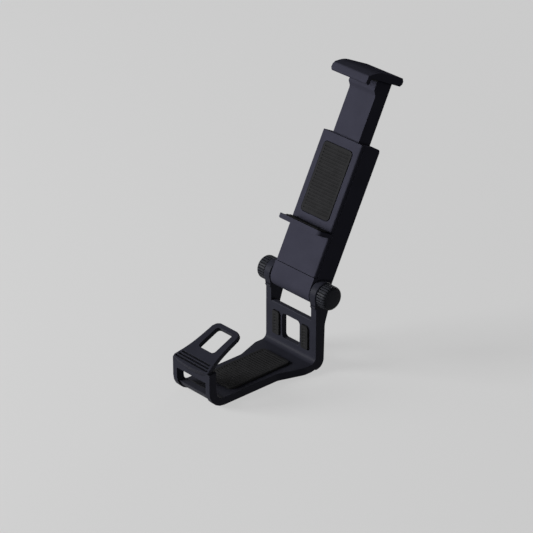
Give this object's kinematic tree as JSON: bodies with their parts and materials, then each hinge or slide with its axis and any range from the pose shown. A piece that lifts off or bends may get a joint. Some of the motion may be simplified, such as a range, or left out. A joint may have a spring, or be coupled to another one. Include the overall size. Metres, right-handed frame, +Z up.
{
  "type": "clip-on phone holder",
  "caption": "Clip-on holder with a base cradle, ribbed hinge knobs, a tilting arm and a sprung sliding jaw that grips a handset above the cradle.",
  "frame": {"origin": "middle of the top face of the rubber seat pad in the cradle, where the held pad's underside lies", "axes": "+X to the right knob, +Y back from the user, +Z up out of the seat"},
  "size_m": [0.0508, 0.1316, 0.1465],
  "materials": {
    "cradle_shell": "fine moulded texture, dark violet grey",
    "arm_shell": "fine moulded texture, dark violet grey",
    "knob_plastic": "matte black, ribbed rim",
    "rubber_pad": "matte black rubber",
    "spring_steel": "bright drawn wire",
    "pin_steel": "zinc plated",
    "screw_steel": "zinc plated, cross recess",
    "washer_nylon": "natural nylon"
  },
  "bodies": {
    "cradle": {"cradle": "cradle_shell", "seat_pad": "rubber_pad", "tongue_pad": "rubber_pad", "rear_pad_left": "rubber_pad", "rear_pad_right": "rubber_pad"},
    "arm": {"rear_shell": "arm_shell", "front_cover": "arm_shell", "lower_jaw": "arm_shell", "lower_jaw_pad": "rubber_pad", "back_pad": "rubber_pad", "spring_left": "spring_steel", "spring_right": "spring_steel", "lower_spring_pin": "pin_steel", "washer_left": "washer_nylon", "washer_right": "washer_nylon", "cover_screw_1": "screw_steel", "cover_screw_2": "screw_steel", "cover_screw_3": "screw_steel", "cover_screw_4": "screw_steel"},
    "jaw": {"upper_jaw": "arm_shell", "slider_cover": "arm_shell", "upper_jaw_pad": "rubber_pad", "upper_spring_pin": "pin_steel", "slider_screw_1": "screw_steel", "slider_screw_2": "screw_steel"},
    "left_knob": {"knob_left": "knob_plastic", "axle_bolt": "pin_steel"},
    "right_knob": {"knob_right": "knob_plastic", "axle_nut": "pin_steel"}
  },
  "joints": [
    {"name": "arm_tilt", "type": "hinge", "parent": "cradle", "child": "arm", "pos_m": [0, 0.0347, 0.0358], "axis": [1, 0, 0], "range_deg": [-55, 90]},
    {"name": "jaw_slide", "type": "slide", "parent": "arm", "child": "jaw", "axis": [0, 0.454, 0.891], "range_m": [-0.023, 0.01], "stiffness_N_per_m": 200, "springref_m": -0.04, "deforming": ["spring_left", "spring_right"]},
    {"name": "knob_left_turn", "type": "hinge", "parent": "cradle", "child": "left_knob", "pos_m": [0, 0.0347, 0.0358], "axis": [1, 0, 0], "continuous": true},
    {"name": "knob_right_turn", "type": "hinge", "parent": "cradle", "child": "right_knob", "pos_m": [0, 0.0347, 0.0358], "axis": [1, 0, 0], "continuous": true}
  ]
}
